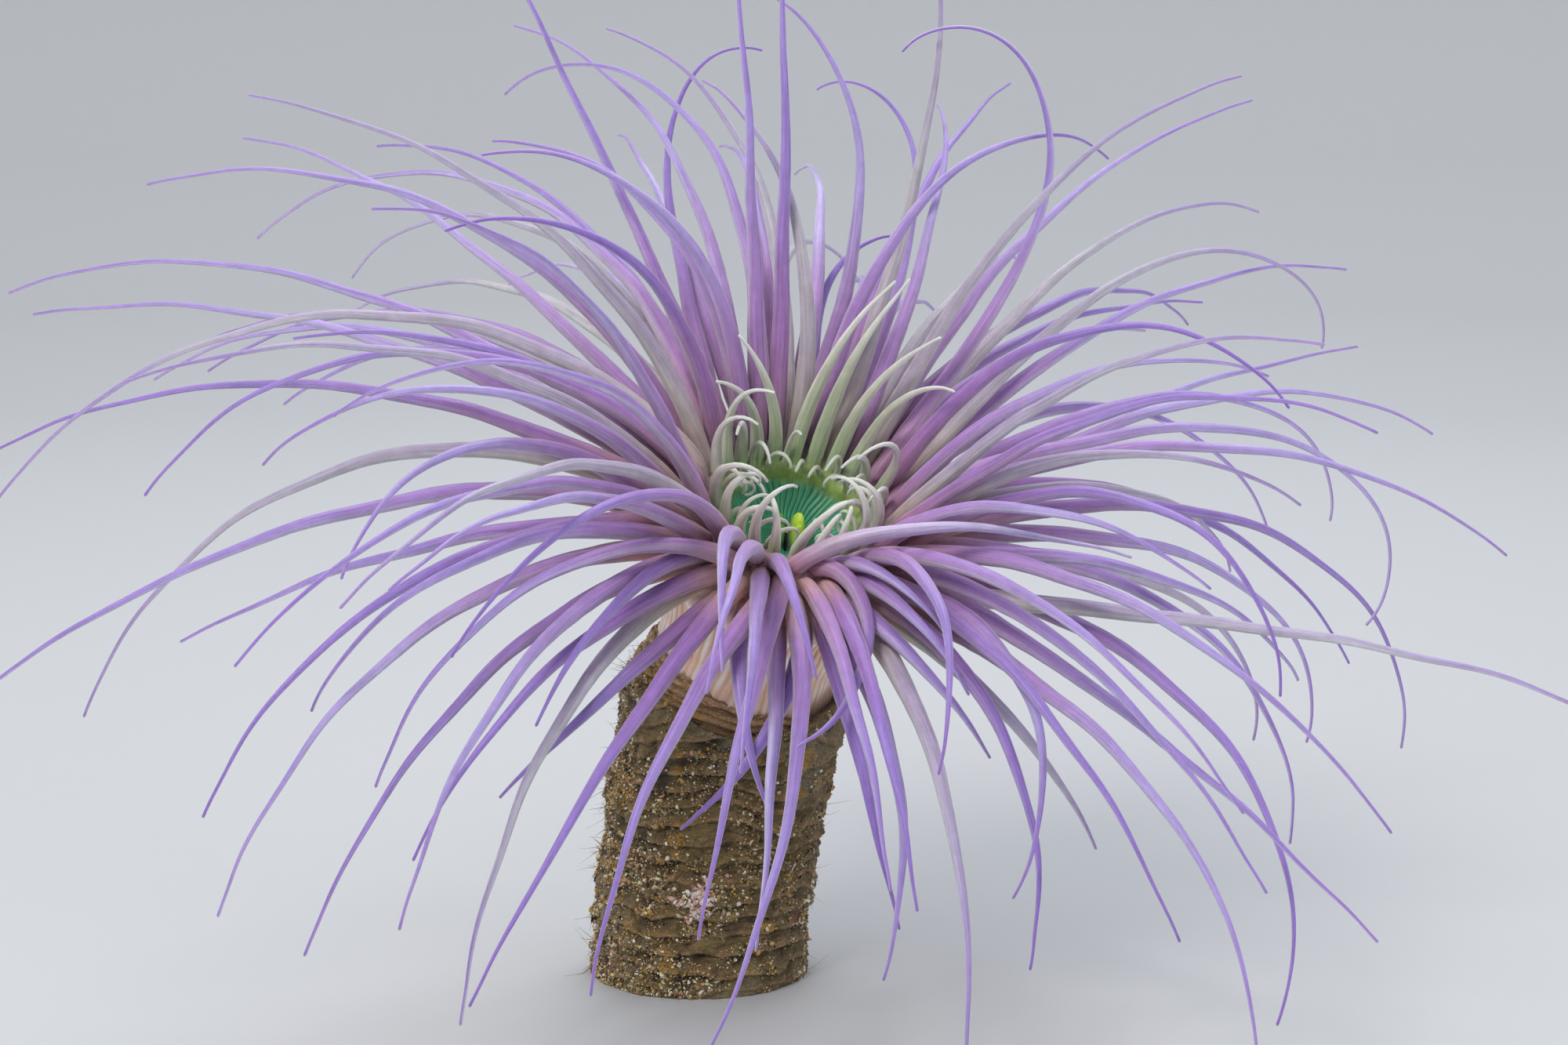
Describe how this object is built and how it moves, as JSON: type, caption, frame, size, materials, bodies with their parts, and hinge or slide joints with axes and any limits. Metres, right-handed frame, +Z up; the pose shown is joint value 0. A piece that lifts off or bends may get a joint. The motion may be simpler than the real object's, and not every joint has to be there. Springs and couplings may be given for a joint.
{
  "type": "tube anemone in its felt tube",
  "caption": "Life-size tube anemone: a leaning crown of long tapering tentacles in four rows and an inner ring around a green oral disc, standing in the top of its felt tube.",
  "frame": {"origin": "middle of the tube's flat foot, on the floor", "axes": "+Z up, +X towards the right side of the crown as seen from the front, -Y towards the front, where the crown faces"},
  "size_m": [0.2973, 0.2234, 0.2043],
  "materials": {
    "felt": "matt felt of threads with sand grains stuck in it",
    "column_skin": "moist peach skin with pleats",
    "disc_skin": "moist emerald skin with dark radial lines",
    "lip_skin": "moist yellow-green skin",
    "labial_skin": "moist translucent grey-green skin",
    "tentacle_root_skin": "moist translucent dusty pink to lilac skin",
    "tentacle_tip_skin": "moist translucent violet skin"
  },
  "bodies": {
    "root": {"column": "column_skin", "labial_back_left": "labial_skin", "labial_back_right": "labial_skin", "labial_front_left": "labial_skin", "labial_front_right": "labial_skin", "labial_left": "labial_skin", "labial_right": "labial_skin", "mouth": "lip_skin", "oral_disc": "disc_skin", "row1_back_left": "tentacle_root_skin", "row1_back_left_outer_5": "tentacle_tip_skin", "row1_back_right": "tentacle_root_skin", "row1_back_right_outer_1": "tentacle_tip_skin", "row1_back_right_outer_4": "tentacle_tip_skin", "row1_front_left": "tentacle_root_skin", "row1_front_right": "tentacle_root_skin", "row1_left": "tentacle_root_skin", "row1_left_outer_3": "tentacle_tip_skin", "row1_left_outer_4": "tentacle_tip_skin", "row1_right": "tentacle_root_skin", "row1_right_outer_5": "tentacle_tip_skin", "row2_back_left": "tentacle_root_skin", "row2_back_left_outer_2": "tentacle_tip_skin", "row2_back_left_outer_4": "tentacle_tip_skin", "row2_back_left_outer_5": "tentacle_tip_skin", "row2_back_right": "tentacle_root_skin", "row2_back_right_outer_2": "tentacle_tip_skin", "row2_front_left": "tentacle_root_skin", "row2_front_right": "tentacle_root_skin", "row2_left": "tentacle_root_skin", "row2_left_outer_2": "tentacle_tip_skin", "row2_right": "tentacle_root_skin", "row2_right_outer_6": "tentacle_tip_skin", "row3_back_left": "tentacle_root_skin", "row3_back_left_outer_3": "tentacle_tip_skin", "row3_back_left_outer_5": "tentacle_tip_skin", "row3_back_right": "tentacle_root_skin", "row3_front_left": "tentacle_root_skin", "row3_front_right": "tentacle_root_skin", "row3_left": "tentacle_root_skin", "row3_left_outer_1": "tentacle_tip_skin", "row3_left_outer_3": "tentacle_tip_skin", "row3_left_outer_4": "tentacle_tip_skin", "row3_right": "tentacle_root_skin", "row3_right_outer_1": "tentacle_tip_skin", "row3_right_outer_4": "tentacle_tip_skin", "row4_back_left": "tentacle_root_skin", "row4_back_right": "tentacle_root_skin", "row4_front_left": "tentacle_root_skin", "row4_front_right": "tentacle_root_skin", "row4_front_right_outer_5": "tentacle_tip_skin", "row4_left": "tentacle_root_skin", "row4_left_outer_2": "tentacle_tip_skin", "row4_left_outer_3": "tentacle_tip_skin", "row4_left_outer_4": "tentacle_tip_skin", "row4_right": "tentacle_root_skin", "row4_right_outer_1": "tentacle_tip_skin", "row4_right_outer_2": "tentacle_tip_skin", "tube": "felt"}
  },
  "joints": []
}
